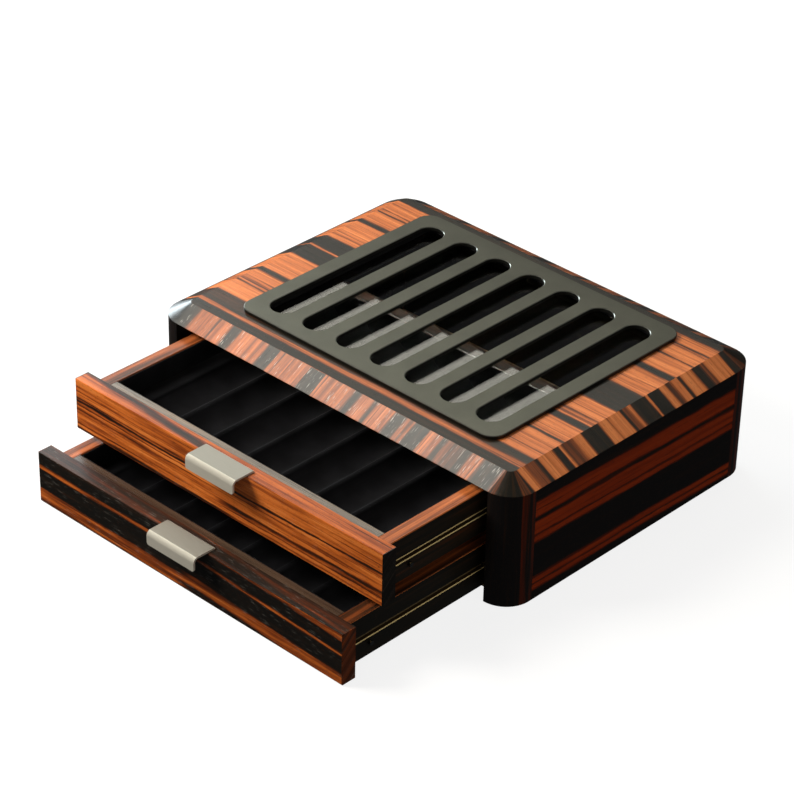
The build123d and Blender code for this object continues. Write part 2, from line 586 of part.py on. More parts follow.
# ---- one drawer ------------------------------------------------------------------------
def make_drawer(drawer):
    """All the pieces of one drawer, in its drawn-out place."""
    face = CASE_FRONT - DRAWN_OUT[drawer]
    front_bottom = FRONT_BOTTOMS[drawer]
    front_top = front_bottom + FRONT_HEIGHT
    front_back = face + FRONT_THICKNESS
    box_back = front_back + BOX_LENGTH
    box_bottom = front_bottom + BOX_LIFT
    box_top = front_top - BOX_DROP
    box_middle = front_back + BOX_LENGTH / 2
    inside_front = front_back + INNER_FRONT
    inside_middle = inside_front + INSIDE_LENGTH / 2
    floor_bottom = box_bottom + FLOOR_RAISE
    floor_top = floor_bottom + FLOOR_THICKNESS
    rail = rail_height(drawer)
    out_x = BOX_WIDTH / 2
    front_screw_x = INSIDE_WIDTH / 2 - FRONT_SCREW_INSET
    front_screw_z = box_bottom + BOX_HEIGHT / 2
    front_screws = [(step * front_screw_x / 3, front_screw_z) for step in (-3, -1, 1, 3)]
    pull_screw_z = front_top - PULL_LEG / 2
    pull_screws = [(x * PULL_SCREW_SPACING / 2, pull_screw_z) for x in SIDES.values()]
    leg_front = face + PULL_LAP - PULL_SHEET
    stud_z = rail - STOP_DROP
    stop_reach = 2 * STOP_RADIUS + STOP_PLAY
    stop_y = STOP_PIN_Y - DRAWN_OUT[drawer]
    studs = [(stop_y - stop_reach, stud_z), (stop_y + stop_reach + FULL_TRAVEL, stud_z)]
    pin_reach = BOX_LENGTH / 2 - CHANNEL_PIN_INSET
    channel_pins = [(box_middle + step * pin_reach, rail) for step in (-1, 0, 1)]
    dowel_in_end = CORNER_DOWEL_LENGTH - CORNER_DOWEL_IN_SIDE
    corner_dowels = [
        (y, z)
        for y in (front_back + INNER_FRONT / 2, box_back - BACK_THICKNESS / 2)
        for z in (box_bottom + CORNER_DOWEL_MARGIN, box_top - CORNER_DOWEL_MARGIN)
    ]

    with BuildPart() as front:
        with BuildSketch(Plane.XZ.offset(-face)):
            with Locations((0, front_bottom + FRONT_HEIGHT / 2)):
                Rectangle(FRONT_WIDTH, FRONT_HEIGHT)
        extrude(amount=-FRONT_THICKNESS)
        fillet(faces().sort_by(Axis.Y)[0].edges(), FRONT_EASING)
        # kerf in the top edge for the leg of the pull
        with BuildSketch(Plane.XY.offset(front_top)):
            with Locations((0, leg_front + PULL_SHEET / 2)):
                Rectangle(PULL_WIDTH + 2 * KERF_CLEARANCE, PULL_SHEET + 2 * KERF_CLEARANCE)
        extrude(amount=-(PULL_LEG + KERF_CLEARANCE), mode=Mode.SUBTRACT)
        with BuildSketch(Plane.XZ.offset(-front_back)):
            with Locations(*pull_screws):
                Circle(PULL_SCREW_HEAD_RADIUS + HOLE_CLEARANCE)
        extrude(amount=PULL_SCREW_HEAD, mode=Mode.SUBTRACT)
        with BuildSketch(Plane.XZ.offset(-front_back)):
            with Locations(*pull_screws):
                Circle(PULL_SCREW_RADIUS + HOLE_CLEARANCE)
        extrude(amount=front_back - leg_front + PULL_SCREW_BITE, mode=Mode.SUBTRACT)
        with BuildSketch(Plane.XZ.offset(-front_back)):
            with Locations(*front_screws):
                Circle(SCREW_RADIUS + HOLE_CLEARANCE)
        extrude(amount=SCREW_LENGTH - INNER_FRONT + HOLE_CLEARANCE, mode=Mode.SUBTRACT)
    save(front, f"{drawer}_front")

    with BuildPart() as inner_front:
        with BuildSketch(Plane.XY.offset(box_bottom)):
            with Locations((0, front_back + INNER_FRONT / 2)):
                Rectangle(INSIDE_WIDTH, INNER_FRONT)
        extrude(amount=BOX_HEIGHT)
        chamfer(faces().sort_by(Axis.Z)[-1].edges().sort_by(Axis.Y)[-1], BOX_EASING)
        with BuildSketch(Plane.XY.offset(floor_bottom)):
            with Locations((0, inside_front - FLOOR_GROOVE / 2)):
                Rectangle(INSIDE_WIDTH, FLOOR_GROOVE)
        extrude(amount=FLOOR_THICKNESS, mode=Mode.SUBTRACT)
        with BuildSketch(Plane.XZ.offset(-inside_front)):
            with Locations(*front_screws):
                Circle(SCREW_HEAD_RADIUS + HOLE_CLEARANCE)
        extrude(amount=SCREW_HEAD, mode=Mode.SUBTRACT)
        with BuildSketch(Plane.XZ.offset(-inside_front)):
            with Locations(*front_screws):
                Circle(SCREW_RADIUS + HOLE_CLEARANCE)
        extrude(amount=INNER_FRONT, mode=Mode.SUBTRACT)
        for sign in SIDES.values():
            with BuildSketch(Plane.YZ.offset(sign * INSIDE_WIDTH / 2)):
                with Locations(*corner_dowels[:2]):
                    Circle(CORNER_DOWEL_RADIUS + HOLE_CLEARANCE)
            extrude(amount=-sign * (dowel_in_end + HOLE_CLEARANCE), mode=Mode.SUBTRACT)
    save(inner_front, f"{drawer}_inner_front")

    with BuildPart() as back:
        with BuildSketch(Plane.XY.offset(box_bottom)):
            with Locations((0, box_back - BACK_THICKNESS / 2)):
                Rectangle(INSIDE_WIDTH, BACK_THICKNESS)
        extrude(amount=BOX_HEIGHT)
        chamfer(faces().sort_by(Axis.Z)[-1].edges().group_by(Axis.Y)[0], BOX_EASING)
        with BuildSketch(Plane.XY.offset(floor_bottom)):
            with Locations((0, box_back - BACK_THICKNESS + FLOOR_GROOVE / 2)):
                Rectangle(INSIDE_WIDTH, FLOOR_GROOVE)
        extrude(amount=FLOOR_THICKNESS, mode=Mode.SUBTRACT)
        for sign in SIDES.values():
            with BuildSketch(Plane.YZ.offset(sign * INSIDE_WIDTH / 2)):
                with Locations(*corner_dowels[2:]):
                    Circle(CORNER_DOWEL_RADIUS + HOLE_CLEARANCE)
            extrude(amount=-sign * (dowel_in_end + HOLE_CLEARANCE), mode=Mode.SUBTRACT)
    save(back, f"{drawer}_back")

    for side, sign in SIDES.items():
        with BuildPart() as box_side:
            with BuildSketch(Plane.XY.offset(box_bottom)):
                with Locations((sign * (out_x - SIDE_THICKNESS / 2), box_middle)):
                    Rectangle(SIDE_THICKNESS, BOX_LENGTH)
            extrude(amount=BOX_HEIGHT)
            chamfer(faces().sort_by(Axis.Z)[-1].edges().filter_by(Axis.Y), BOX_EASING)
            # groove for the brass channel, and for the edge of the floor
            with BuildSketch(Plane.XZ.offset(-front_back)):
                with Locations((sign * (out_x - CHANNEL_DEPTH / 2), rail)):
                    Rectangle(CHANNEL_DEPTH, CHANNEL_HEIGHT)
            extrude(amount=-BOX_LENGTH, mode=Mode.SUBTRACT)
            with BuildSketch(Plane.XY.offset(floor_bottom)):
                with Locations((sign * (INSIDE_WIDTH / 2 + FLOOR_GROOVE / 2), inside_middle)):
                    Rectangle(FLOOR_GROOVE, INSIDE_LENGTH + 2 * FLOOR_GROOVE)
            extrude(amount=FLOOR_THICKNESS, mode=Mode.SUBTRACT)
            with BuildSketch(Plane.YZ.offset(sign * out_x)):
                with Locations(*studs):
                    Circle(STOP_RADIUS + HOLE_CLEARANCE)
            extrude(amount=-sign * (STUD_SINK + HOLE_CLEARANCE), mode=Mode.SUBTRACT)
            with BuildSketch(Plane.YZ.offset(sign * (out_x - CHANNEL_DEPTH))):
                with Locations(*channel_pins):
                    Circle(CHANNEL_PIN_RADIUS + HOLE_CLEARANCE)
            extrude(amount=-sign * CHANNEL_PIN_LENGTH, mode=Mode.SUBTRACT)
            with BuildSketch(Plane.YZ.offset(sign * INSIDE_WIDTH / 2)):
                with Locations(*corner_dowels):
                    Circle(CORNER_DOWEL_RADIUS + HOLE_CLEARANCE)
            extrude(amount=sign * (CORNER_DOWEL_IN_SIDE + HOLE_CLEARANCE), mode=Mode.SUBTRACT)
        save(box_side, f"{drawer}_side_{side}")

        with BuildPart() as channel:
            with BuildSketch(Plane.XZ.offset(-front_back)):
                with Locations((sign * (out_x - CHANNEL_DEPTH / 2), rail)):
                    Rectangle(CHANNEL_DEPTH, CHANNEL_HEIGHT)
                with Locations((sign * (out_x - (CHANNEL_DEPTH - CHANNEL_WALL) / 2), rail)):
                    Rectangle(
                        CHANNEL_DEPTH - CHANNEL_WALL,
                        CHANNEL_HEIGHT - 2 * CHANNEL_WALL,
                        mode=Mode.SUBTRACT,
                    )
            extrude(amount=-BOX_LENGTH)
            with BuildSketch(Plane.YZ.offset(sign * (out_x - CHANNEL_DEPTH))):
                with Locations(*channel_pins):
                    Circle(CHANNEL_PIN_RADIUS + HOLE_CLEARANCE)
            extrude(amount=sign * CHANNEL_WALL, mode=Mode.SUBTRACT)
        save(channel, f"{drawer}_channel_{side}")

    with BuildPart() as floor:
        with BuildSketch(Plane.XY.offset(floor_bottom)):
            with Locations((0, inside_middle)):
                Rectangle(INSIDE_WIDTH + 2 * FLOOR_GROOVE, INSIDE_LENGTH + 2 * FLOOR_GROOVE)
        extrude(amount=FLOOR_THICKNESS)
    save(floor, f"{drawer}_floor")

    with BuildPart() as lining:
        with BuildSketch(Plane.XY.offset(floor_top)):
            with Locations((0, inside_middle)):
                Rectangle(INSIDE_WIDTH, INSIDE_LENGTH)
                Rectangle(
                    INSIDE_WIDTH - 2 * LINING, INSIDE_LENGTH - 2 * LINING, mode=Mode.SUBTRACT
                )
        extrude(amount=box_top - LINING_DROP - floor_top)
    save(lining, f"{drawer}_lining")

    with BuildPart() as tray:
        with BuildSketch(Plane.XY.offset(floor_top)):
            with Locations((0, inside_middle)):
                Rectangle(TRAY_WIDTH, TROUGH_LENGTH)
        extrude(amount=TRAY_BASE)
    save(tray, f"{drawer}_tray")

    # ridges between the troughs, and a shelf outside the first and the last trough
    ridge_bottom = floor_top + TRAY_BASE
    shelf_width = END_SHELF + RIDGE_WIDTH / 2
    with BuildPart() as ridges:
        with BuildSketch(Plane.XZ.offset(-(inside_middle - TROUGH_LENGTH / 2))):
            with Locations((0, ridge_bottom + RIDGE_HEIGHT / 2)):
                with GridLocations(PEN_PITCH, 0, PEN_COUNT - 1, 1):
                    Rectangle(RIDGE_WIDTH, RIDGE_HEIGHT)
                with GridLocations(TRAY_WIDTH - shelf_width, 0, 2, 1):
                    Rectangle(shelf_width, RIDGE_HEIGHT)
            fillet(vertices().group_by(Axis.Y)[-1], RIDGE_EASING)
        extrude(amount=-TROUGH_LENGTH)
    save(ridges, f"{drawer}_ridges")

    # the pull: one bent strip, from its leg in the kerf to the tip of its lip
    strip = [
        (leg_front + PULL_SHEET, front_top - PULL_LEG),
        (leg_front + PULL_SHEET, front_top + PULL_SHEET),
        (face - PULL_REACH, front_top + PULL_SHEET),
        (face - PULL_REACH, front_top + PULL_SHEET - PULL_LIP),
    ]
    with BuildPart() as pull:
        with BuildSketch(Plane.YZ.offset(-PULL_WIDTH / 2)):
            with BuildLine():
                FilletPolyline(*strip, radius=[PULL_SHEET + HOLE_CLEARANCE, PULL_BEND])
                offset(amount=PULL_SHEET, side=Side.LEFT)
            make_face()
        extrude(amount=PULL_WIDTH)
        fillet(edges().filter_by(Axis.Y).group_by(Axis.Y)[0], PULL_CORNER)
        with BuildSketch(Plane.XZ.offset(-(leg_front + PULL_SHEET))):
            with Locations(*pull_screws):
                Circle(PULL_SCREW_RADIUS + HOLE_CLEARANCE)
        extrude(amount=PULL_SHEET, mode=Mode.SUBTRACT)
    save(pull, f"{drawer}_pull")

    with BuildPart() as pull_fixings:
        with BuildSketch(Plane.XZ.offset(-front_back)):
            with Locations(*pull_screws):
                Circle(PULL_SCREW_HEAD_RADIUS)
        extrude(amount=PULL_SCREW_HEAD)
        with BuildSketch(Plane.XZ.offset(-front_back)):
            with Locations(*pull_screws):
                Circle(PULL_SCREW_RADIUS)
        extrude(amount=front_back - leg_front + PULL_SCREW_BITE - HOLE_CLEARANCE)
    save(pull_fixings, f"{drawer}_pull_screws")

    with BuildPart() as front_fixings:
        with BuildSketch(Plane.XZ.offset(-inside_front)):
            with Locations(*front_screws):
                Circle(SCREW_HEAD_RADIUS)
        extrude(amount=SCREW_HEAD)
        with BuildSketch(Plane.XZ.offset(-inside_front)):
            with Locations(*front_screws):
                Circle(SCREW_RADIUS)
        extrude(amount=SCREW_LENGTH)
    save(front_fixings, f"{drawer}_front_screws")

    with BuildPart() as stop_studs:
        for sign in SIDES.values():
            with BuildSketch(Plane.YZ.offset(sign * (out_x + STUD_PROUD))):
                with Locations(*studs):
                    Circle(STOP_RADIUS)
            extrude(amount=-sign * (STUD_PROUD + STUD_SINK))
    save(stop_studs, f"{drawer}_stop_studs")

    with BuildPart() as pins:
        for sign in SIDES.values():
            with BuildSketch(Plane.YZ.offset(sign * (out_x - CHANNEL_DEPTH + CHANNEL_WALL))):
                with Locations(*channel_pins):
                    Circle(CHANNEL_PIN_RADIUS)
            extrude(amount=-sign * (CHANNEL_WALL + CHANNEL_PIN_LENGTH - HOLE_CLEARANCE))
    save(pins, f"{drawer}_channel_pins")

    with BuildPart() as dowels:
        for sign in SIDES.values():
            with BuildSketch(Plane.YZ.offset(sign * (INSIDE_WIDTH / 2 + CORNER_DOWEL_IN_SIDE))):
                with Locations(*corner_dowels):
                    Circle(CORNER_DOWEL_RADIUS)
            extrude(amount=-sign * CORNER_DOWEL_LENGTH)
    save(dowels, f"{drawer}_corner_dowels")


# ---- make and write every piece --------------------------------------------------------
os.makedirs("parts", exist_ok=True)
for end in ENDS:
    for side in SIDES:
        make_post(end, side)
for side in SIDES:
    make_side_panel(side)
make_back_panel()
make_bottom_board()
make_bottom_screws()
make_base_felt()
make_frame_dowels()
make_lid_dowels()
make_lid()
make_window_glass()
make_glass_bead()
make_slot_plate()
make_plate_pins()
for drawer in DRAWN_OUT:
    for side in SIDES:
        make_runner(drawer, side)
make_runner_screws()
make_stop_pins()
make_rear_buffers()
for drawer in DRAWN_OUT:
    make_drawer(drawer)
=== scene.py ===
"""A pen chest, veneered in striped ebony, with two drawers drawn out and a slotted metal plate."""

import math

import bpy
from mathutils import Matrix, Vector


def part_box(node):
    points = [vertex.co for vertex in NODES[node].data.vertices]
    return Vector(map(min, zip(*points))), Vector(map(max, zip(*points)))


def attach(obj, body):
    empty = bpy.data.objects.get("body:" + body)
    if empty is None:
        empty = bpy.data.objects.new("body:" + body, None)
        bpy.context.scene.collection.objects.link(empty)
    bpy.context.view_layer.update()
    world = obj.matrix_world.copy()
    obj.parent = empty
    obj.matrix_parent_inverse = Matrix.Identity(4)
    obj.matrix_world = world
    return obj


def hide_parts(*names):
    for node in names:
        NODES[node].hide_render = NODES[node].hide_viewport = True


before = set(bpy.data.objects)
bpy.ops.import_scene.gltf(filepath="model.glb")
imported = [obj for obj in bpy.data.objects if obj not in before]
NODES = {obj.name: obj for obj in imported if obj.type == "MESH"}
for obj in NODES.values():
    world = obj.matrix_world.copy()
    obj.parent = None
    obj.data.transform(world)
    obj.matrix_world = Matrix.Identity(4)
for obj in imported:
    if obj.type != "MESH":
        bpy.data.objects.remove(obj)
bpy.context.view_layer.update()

# one millimetre in metres
MM = 0.001
DRAWERS = ("upper", "lower")
SIDES = ("left", "right")


# ---- sizes, in millimetres --------------------------------------------------------------
def box_mm(node):
    """The lowest and highest corner of a CAD node, in millimetres."""
    low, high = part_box(node)
    return [v / MM for v in low], [v / MM for v in high]


HALF_WIDTH, HALF_DEPTH = box_mm("lid")[1][:2]
BEVEL_WIDTH = 14.4
CORNER_RADIUS = 18.7
# where the lid's flat top ends, and where its corners begin to turn
TOP_X = HALF_WIDTH - BEVEL_WIDTH
TOP_Y = HALF_DEPTH - BEVEL_WIDTH
CORNER_X = HALF_WIDTH - CORNER_RADIUS
CORNER_Y = HALF_DEPTH - CORNER_RADIUS
# the middle and half sizes of the part of the lid that the plate hides
WINDOW_MIDDLE = 4.0
WINDOW_X = 104.0
WINDOW_Y = 84.0
# from the front or back of the case to the seam of a post
POST_WIDTH = 21.0
# the side faces of the drawers' boxes lie just past this
BOX_FACE_X = 122.2
# a point this near a face counts as on it
SKIN = 0.5


# ---- short calls that add nodes to a material -------------------------------------------
class Shading:
    """One material: its node tree, its Principled shader and a point's place in millimetres."""

    def __init__(self, name):
        self.material = bpy.data.materials.new(name)
        self.material.use_nodes = True
        self.tree = self.material.node_tree
        self.tree.nodes.clear()
        output = self.new("ShaderNodeOutputMaterial")
        self.shader = self.new("ShaderNodeBsdfPrincipled")
        self.tree.links.new(self.shader.outputs[0], output.inputs[0])
        place = self.new("ShaderNodeTexCoord").outputs["Object"]
        split = self.new("ShaderNodeSeparateXYZ")
        self.tree.links.new(place, split.inputs[0])
        self.x, self.y, self.z = (self.times(s, 1 / MM) for s in split.outputs)

    def new(self, kind, **settings):
        """Adds a node."""
        node = self.tree.nodes.new(kind)
        for name, value in settings.items():
            setattr(node, name, value)
        return node

    def put(self, socket, value):
        """Links a socket, or sets its constant."""
        if isinstance(value, bpy.types.NodeSocket):
            self.tree.links.new(value, socket)
        elif socket.type == "RGBA":
            socket.default_value = (*value, 1)
        else:
            socket.default_value = value

    def math(self, operation, a, b=0.0, clamp=False):
        node = self.new("ShaderNodeMath", operation=operation, use_clamp=clamp)
        for socket, value in zip(node.inputs, (a, b)):
            self.put(socket, value)
        return node.outputs[0]

    def plus(self, a, b, clamp=False):
        return self.math("ADD", a, b, clamp)

    def minus(self, a, b):
        return self.math("SUBTRACT", a, b)

    def times(self, a, b):
        return self.math("MULTIPLY", a, b)

    def above(self, value, limit):
        """1 where a value is above a limit, and 0 elsewhere."""
        return self.math("GREATER_THAN", value, limit)

    def below(self, value, limit):
        """1 where a value is below a limit, and 0 elsewhere."""
        return self.math("LESS_THAN", value, limit)

    def beyond(self, value, limit):
        """1 where a value is further from 0 than a limit on either side, and 0 elsewhere."""
        return self.above(self.math("ABSOLUTE", value), limit)

    def map_range(self, value, low, high, out_low=0.0, out_high=1.0, kind="LINEAR"):
        """Maps a value from one range to another, held within its ends."""
        node = self.new("ShaderNodeMapRange", interpolation_type=kind)
        for socket, v in zip(node.inputs, (value, low, high, out_low, out_high)):
            self.put(socket, v)
        return node.outputs[0]

    def step(self, value, low, high):
        """A smooth step from 0 to 1 as a value goes from low to high."""
        return self.map_range(value, low, high, kind="SMOOTHSTEP")

    def spread(self, noise, low=0.0, high=1.0):
        """Maps noise, which lies about 0.3 to 0.7, to a range."""
        return self.map_range(noise, 0.3, 0.7, low, high)

    def blend(self, factor, a, b):
        """Mixes two numbers."""
        node = self.new("ShaderNodeMix", data_type="FLOAT")
        for index, value in zip((0, 2, 3), (factor, a, b)):
            self.put(node.inputs[index], value)
        return node.outputs[0]

    def tint(self, factor, a, b):
        """Mixes two colours."""
        node = self.new("ShaderNodeMix", data_type="RGBA")
        for index, value in zip((0, 6, 7), (factor, a, b)):
            self.put(node.inputs[index], value)
        return node.outputs[2]

    def point(self, x, y, z):
        node = self.new("ShaderNodeCombineXYZ")
        for socket, value in zip(node.inputs, (x, y, z)):
            self.put(socket, value)
        return node.outputs[0]

    def noise(self, point, detail, scale=1.0, roughness=0.55):
        node = self.new("ShaderNodeTexNoise")
        self.put(node.inputs["Vector"], point)
        self.put(node.inputs["Scale"], scale)
        self.put(node.inputs["Detail"], detail)
        self.put(node.inputs["Roughness"], roughness)
        return node.outputs[0]

    def cloud(self, scale, detail=2):
        """Noise that is alike in every direction."""
        return self.noise(self.point(self.x, self.y, self.z), detail, scale)

    def mottle(self, fine):
        """From 0 to 1: a fine noise and a broad cloud in equal parts."""
        cloud = self.cloud(0.04)
        return self.times(self.plus(self.spread(cloud), self.spread(fine)), 0.5)

    def streaks(self, along, across, length, width, seed, **settings):
        """Noise drawn out along the grain, with features of a given length and width."""
        point = self.point(self.times(along, 1 / length), self.times(across, 1 / width), seed)
        return self.noise(point, **settings)

    def ramp(self, value, stops):
        """A colour for each value, from (position, colour) stops."""
        node = self.new("ShaderNodeValToRGB")
        self.put(node.inputs[0], value)
        elements = node.color_ramp.elements
        while len(elements) < len(stops):
            elements.new(1.0)
        for element, (position, colour) in zip(elements, stops):
            element.position = position
            element.color = (*colour, 1)
        return node.outputs[0]

    def bands(self, value, low, high, bands, ground, edge):
        """How dark a place is: bands of (start, end, darkness) on a ground, in millimetres."""
        points = []
        last_end = low
        for start, end, darkness in bands:
            soft = min(edge, (end - start) / 3)
            # a band that begins where the last one ends replaces that one's return to the ground
            if points and start - last_end < 0.6:
                points.pop()
            else:
                points.append((start - soft, ground))
            points += [(start + soft, darkness), (end - soft, darkness), (end + soft, ground)]
            last_end = end
        before = [y for x, y in points if x <= low]
        after = [y for x, y in points if x >= high]
        node = self.new("ShaderNodeFloatCurve")
        curve = node.mapping.curves[0]
        curve.points[0].location = (0, before[-1] if before else ground)
        curve.points[1].location = (1, after[0] if after else ground)
        for x, y in points:
            if low < x < high:
                curve.points.new((x - low) / (high - low), y)
        for point in curve.points:
            point.handle_type = "VECTOR"
        node.mapping.update()
        self.put(node.inputs["Factor"], 1.0)
        self.put(node.inputs["Value"], self.map_range(value, low, high))
        return node.outputs[0]

    def bump(self, height, strength, distance):
        """Small relief, with its distance in millimetres."""
        node = self.new("ShaderNodeBump")
        self.put(node.inputs["Height"], height)
        self.put(node.inputs["Strength"], strength)
        self.put(node.inputs["Distance"], distance * MM)
        self.put(self.shader.inputs["Normal"], node.outputs[0])

    def set(self, **values):
        """Sets or links inputs of the Principled shader by name."""
        for name, value in values.items():
            self.put(self.shader.inputs[name.replace("_", " ")], value)


# ---- striped ebony ----------------------------------------------------------------------
TOP_COLOURS = [
    (0.00, (0.680, 0.225, 0.068)),
    (0.18, (0.520, 0.145, 0.038)),
    (0.40, (0.240, 0.060, 0.016)),
    (0.62, (0.070, 0.022, 0.009)),
    (0.85, (0.018, 0.012, 0.007)),
    (1.00, (0.009, 0.008, 0.006)),
]
FRONT_COLOURS = [
    (0.00, (0.620, 0.190, 0.040)),
    (0.18, (0.480, 0.115, 0.018)),
    (0.40, (0.200, 0.040, 0.008)),
    (0.62, (0.055, 0.014, 0.005)),
    (0.85, (0.014, 0.009, 0.006)),
    (1.00, (0.007, 0.006, 0.005)),
]
# Partly the side veneer's own redder, darker tone, and partly painted shade: darker still to offset the
# fill light from the right.
SHADED_SIDE_COLOURS = [
    (0.00, (0.300, 0.036, 0.005)),
    (0.30, (0.190, 0.020, 0.003)),
    (0.55, (0.075, 0.010, 0.003)),
    (0.85, (0.012, 0.007, 0.005)),
    (1.00, (0.006, 0.005, 0.005)),
]
SMOKE_COLOURS = [
    (0.00, (0.240, 0.150, 0.085)),
    (0.45, (0.072, 0.052, 0.034)),
    (1.00, (0.016, 0.013, 0.010)),
]
PORE_COLOUR = (0.03, 0.012, 0.006)
# the colour of the painted glints on the lacquer
PAINTED_GLINT_COLOUR = (0.62, 0.60, 0.54)


def ebony(
    s, along, across, dark, seed,
    colours=TOP_COLOURS, lines=0.3, pores=0.5, sparkle=None, roughness=0.30, shine=0.4,
):
    """Lacquered striped veneer: fine lines, streaks and pores over the bands in dark, and painted
    glints where sparkle is given.
    """
    broad = s.streaks(along, across, 90, 3.0, seed, detail=4)
    fine = s.streaks(along, across, 36, 0.5, seed + 3, detail=5, roughness=0.7)
    line = s.step(s.streaks(along, across, 150, 1.2, seed + 7, detail=2), 0.58, 0.68)
    pore = s.step(s.streaks(along, across, 4, 0.5, seed + 11, detail=2), 0.60, 0.70)

    depth = s.plus(dark, s.times(line, lines))
    depth = s.plus(depth, s.spread(broad, -0.12, 0.22))
    depth = s.plus(depth, s.spread(fine, -0.10, 0.14), clamp=True)
    colour = s.ramp(depth, colours)
    colour = s.tint(s.times(pore, pores), colour, PORE_COLOUR)
    if sparkle is not None:
        # painted glints: light flecks in the colour where the lacquer would catch the light
        glint = s.step(s.streaks(along, across, 9.0, 0.42, seed + 19, detail=1), 0.63, 0.71)
        patch = s.step(s.streaks(along, across, 14, 7, seed + 23, detail=2), 0.44, 0.58)
        colour = s.tint(s.times(s.times(glint, patch), sparkle), colour, PAINTED_GLINT_COLOUR)
    s.set(
        Base_Color=colour,
        Roughness=s.spread(fine, roughness - 0.04, roughness + 0.06),
        Specular_IOR_Level=shine,
    )
    s.bump(s.minus(fine, s.times(pore, 0.8)), 0.3, 0.12)


def warped(s, along, across, reach, length, width, seed):
    """The place across the grain, wandering slowly by up to about reach, with ragged edges."""
    drift = s.streaks(along, across, length, width, seed, detail=1)
    ragged = s.streaks(along, across, 16, 1.6, seed + 0.5, detail=3)
    shift = s.times(s.minus(drift, 0.5), 2 * reach)
    return s.plus(across, s.plus(shift, s.spread(ragged, -0.5, 0.5)))


# Bands across each face: (start, end, darkness), in millimetres from the face's first edge.
# The spans are the lengths that they are spread over.
TOP_SPAN = 198.4
TOP_LEFT_BANDS = [
    (-2, 7.5, 0.90), (12.5, 13.5, 0.45), (23, 24.5, 0.60), (26.5, 28, 0.62), (43, 47, 0.92),
    (65, 66, 0.35), (69, 70, 0.35), (75, 90, 0.90), (91, 107, 0.92), (111.5, 112.5, 0.4),
    (134, 138, 0.90), (150, 153, 0.50), (154, 156.5, 0.62), (172.5, 186.6, 0.78), (190, 199, 0.88),
]
TOP_RIGHT_BANDS = [
    (-2, 7.0, 0.92), (16.5, 18, 0.60), (19, 20, 0.5), (32, 33.2, 0.85), (50, 56, 0.92),
    (67, 68, 0.4), (80, 104, 0.92), (120, 121.5, 0.5), (124, 126, 0.45), (128, 134, 0.92),
    (151, 152.5, 0.90), (160, 161, 0.45), (169, 170.5, 0.45), (177, 184.5, 0.82),
    (190, 199, 0.88),
]
RIGHT_BEVEL_SPAN = 200
RIGHT_BEVEL_BANDS = [
    (-2, 6, 0.85), (12, 21, 0.40), (21, 23.5, 0.85), (36, 42, 0.92), (43, 54, 0.42),
    (62, 77, 0.90), (85, 86, 0.3), (97, 98.5, 0.85), (98.6, 104, 0.45), (107, 120.5, 0.90),
    (121.5, 133, 0.92), (139, 144, 0.50), (150, 152.5, 0.90), (164, 171, 0.92),
    (171.5, 176, 0.45), (190.5, 200, 0.95),
]
FRONT_BEVEL_SPAN = 272
FRONT_BEVEL_BANDS = [
    (-2, 13, 0.90), (21, 24, 0.35), (30, 31.5, 0.6), (42, 49, 0.85), (67, 70, 0.45),
    (73, 83, 0.88), (95, 96, 0.4), (110, 122, 0.85), (123.5, 125, 0.5), (134, 136, 0.35),
    (147, 152, 0.88), (163.6, 166, 0.8), (181, 189, 0.86), (192, 194, 0.5), (197, 208, 0.88),
    (219, 223.5, 0.80), (225, 236, 0.55), (236.5, 242, 0.85), (252, 266, 0.90), (270, 275, 0.9),
]
# round a corner of the lid, in degrees from the front
FAN_BANDS = [(0, 4, 0.6), (15, 66, 0.90), (74, 79, 0.6), (84, 91, 0.8)]
# The side's stripes start at SIDE_TOP where y is -SIDE_LEVEL_Y, and slope down from there.
SIDE_TOP = 78.0
SIDE_LEVEL_Y = 94.0
SIDE_SLOPE = 0.022
SIDE_SPAN = 80
SIDE_BANDS = [
    (-2, 8, 0.96), (19, 21.8, 0.80), (27, 28, 0.3), (31, 32.6, 0.48), (37, 61, 0.97),
    (65.5, 66.5, 0.7), (70, 80, 0.96),
]
# outward from the seam of a post
POST_BANDS = [(0.5, 3.2, 0.55), (4.0, 5.0, 0.85), (5.4, 10.0, 0.60)]
UPPER_FRONT_LEFT = [
    (8.2, 9.2, 0.28), (12.8, 13.8, 0.50), (14.6, 15.9, 0.90), (17.3, 18.2, 0.52),
    (20.4, 21.4, 0.45), (30.2, 31.4, 0.35), (33.2, 35.0, 0.62), (44, 60, 0.5),
]
UPPER_FRONT_RIGHT = [
    (14.4, 15.6, 0.94), (17.8, 18.4, 0.30), (26.6, 28.6, 0.66), (30.2, 31.2, 0.45),
    (33.6, 34.6, 0.35), (44, 60, 0.5),
]
LOWER_FRONT_LEFT = [(-0.5, 8.2, 0.93), (11.4, 25.5, 0.95), (34.8, 40, 0.9)]
LOWER_FRONT_RIGHT = [(-0.6, 7.6, 0.95), (10.2, 22.5, 0.93), (31, 40, 0.8)]
UPPER_EDGE_BANDS = [(4.2, 8.8, 0.72)]
LOWER_EDGE_BANDS = [(-20, 3, 0.74), (6, 14, 0.78), (16, 40, 0.72)]

# What differs between the two drawers' fronts: the noise's seed, the slope of the stripes right of
# the middle, how dark the ground and the end faces are, the painted glints and the two halves' bands.
FRONTS = {
    "upper": {
        "seed": 52.0, "slope": -0.010, "ground": 0.10, "ends": 0.90, "sparkle": 0.08,
        "halves": (UPPER_FRONT_LEFT, UPPER_FRONT_RIGHT),
    },
    "lower": {
        "seed": 61.0, "slope": 0.047, "ground": 0.26, "ends": 0.50, "sparkle": 0.20,
        "halves": (LOWER_FRONT_LEFT, LOWER_FRONT_RIGHT),
    },
}


